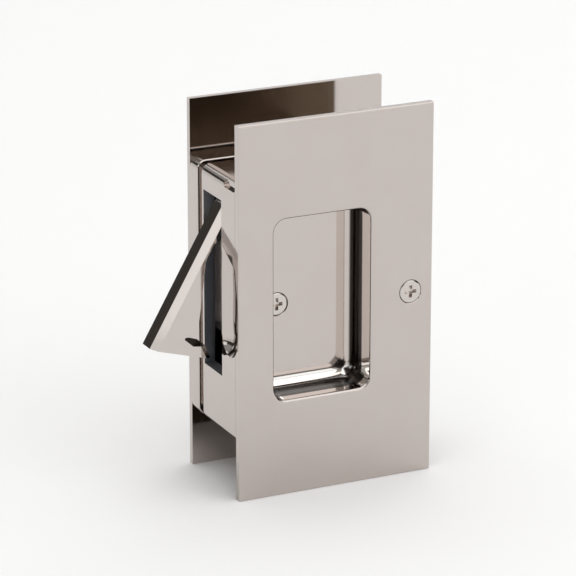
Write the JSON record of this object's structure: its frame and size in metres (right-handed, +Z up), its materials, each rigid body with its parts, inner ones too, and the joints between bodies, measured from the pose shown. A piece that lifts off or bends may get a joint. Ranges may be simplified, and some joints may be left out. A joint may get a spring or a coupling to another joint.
{
  "type": "pocket door lock",
  "caption": "Adjustable pocket door passage set: rectangular cup plates on a telescoping case, with a hinged edge pull that swings out of a slot in the door's edge.",
  "frame": {"origin": "middle of the case's inner end face, where it meets the end of the notch in the door's edge", "axes": "+X into the door, away from its edge; +Y from the front plate to the rear plate; +Z up"},
  "size_m": [0.0937, 0.04, 0.127],
  "materials": {
    "nickel_plating": "polished nickel on cast brass",
    "pull_plating": "polished nickel on cast brass",
    "screw_plating": "polished nickel on steel",
    "pin_steel": "ground steel",
    "spring_steel": "tempered spring steel"
  },
  "bodies": {
    "front": {"front_half": "nickel_plating", "pivot_pin": "pin_steel", "catch_spring": "spring_steel", "spring_rivet": "pin_steel"},
    "rear": {"rear_half": "nickel_plating"},
    "pull": {"edge_pull": "pull_plating"},
    "plate_screw": {"plate_screw": "screw_plating"},
    "cup_screw": {"cup_screw": "screw_plating"}
  },
  "joints": [
    {"name": "pull_swing", "type": "hinge", "parent": "front", "child": "pull", "pos_m": [-0.049, 0, 0.0276], "axis": [0, -1, 0], "range_deg": [0, 30]},
    {"name": "case_slide", "type": "slide", "parent": "front", "child": "rear", "axis": [0, 1, 0], "range_m": [0, 0.00953]},
    {"name": "plate_screw_turn", "type": "hinge", "parent": "front", "child": "plate_screw", "pos_m": [0.008, -0.01996, 0], "axis": [0, -1, 0], "range_deg": [0, 4320]},
    {"name": "cup_screw_turn", "type": "hinge", "parent": "front", "child": "cup_screw", "pos_m": [-0.0343, -0.00676, -0.0023], "axis": [0, -1, 0], "range_deg": [0, 4320]}
  ],
  "couplings": [
    {"joint": "plate_screw_turn", "follows": "case_slide", "rad_per_m": 7915.8},
    {"joint": "cup_screw_turn", "follows": "case_slide", "rad_per_m": 7915.8}
  ]
}
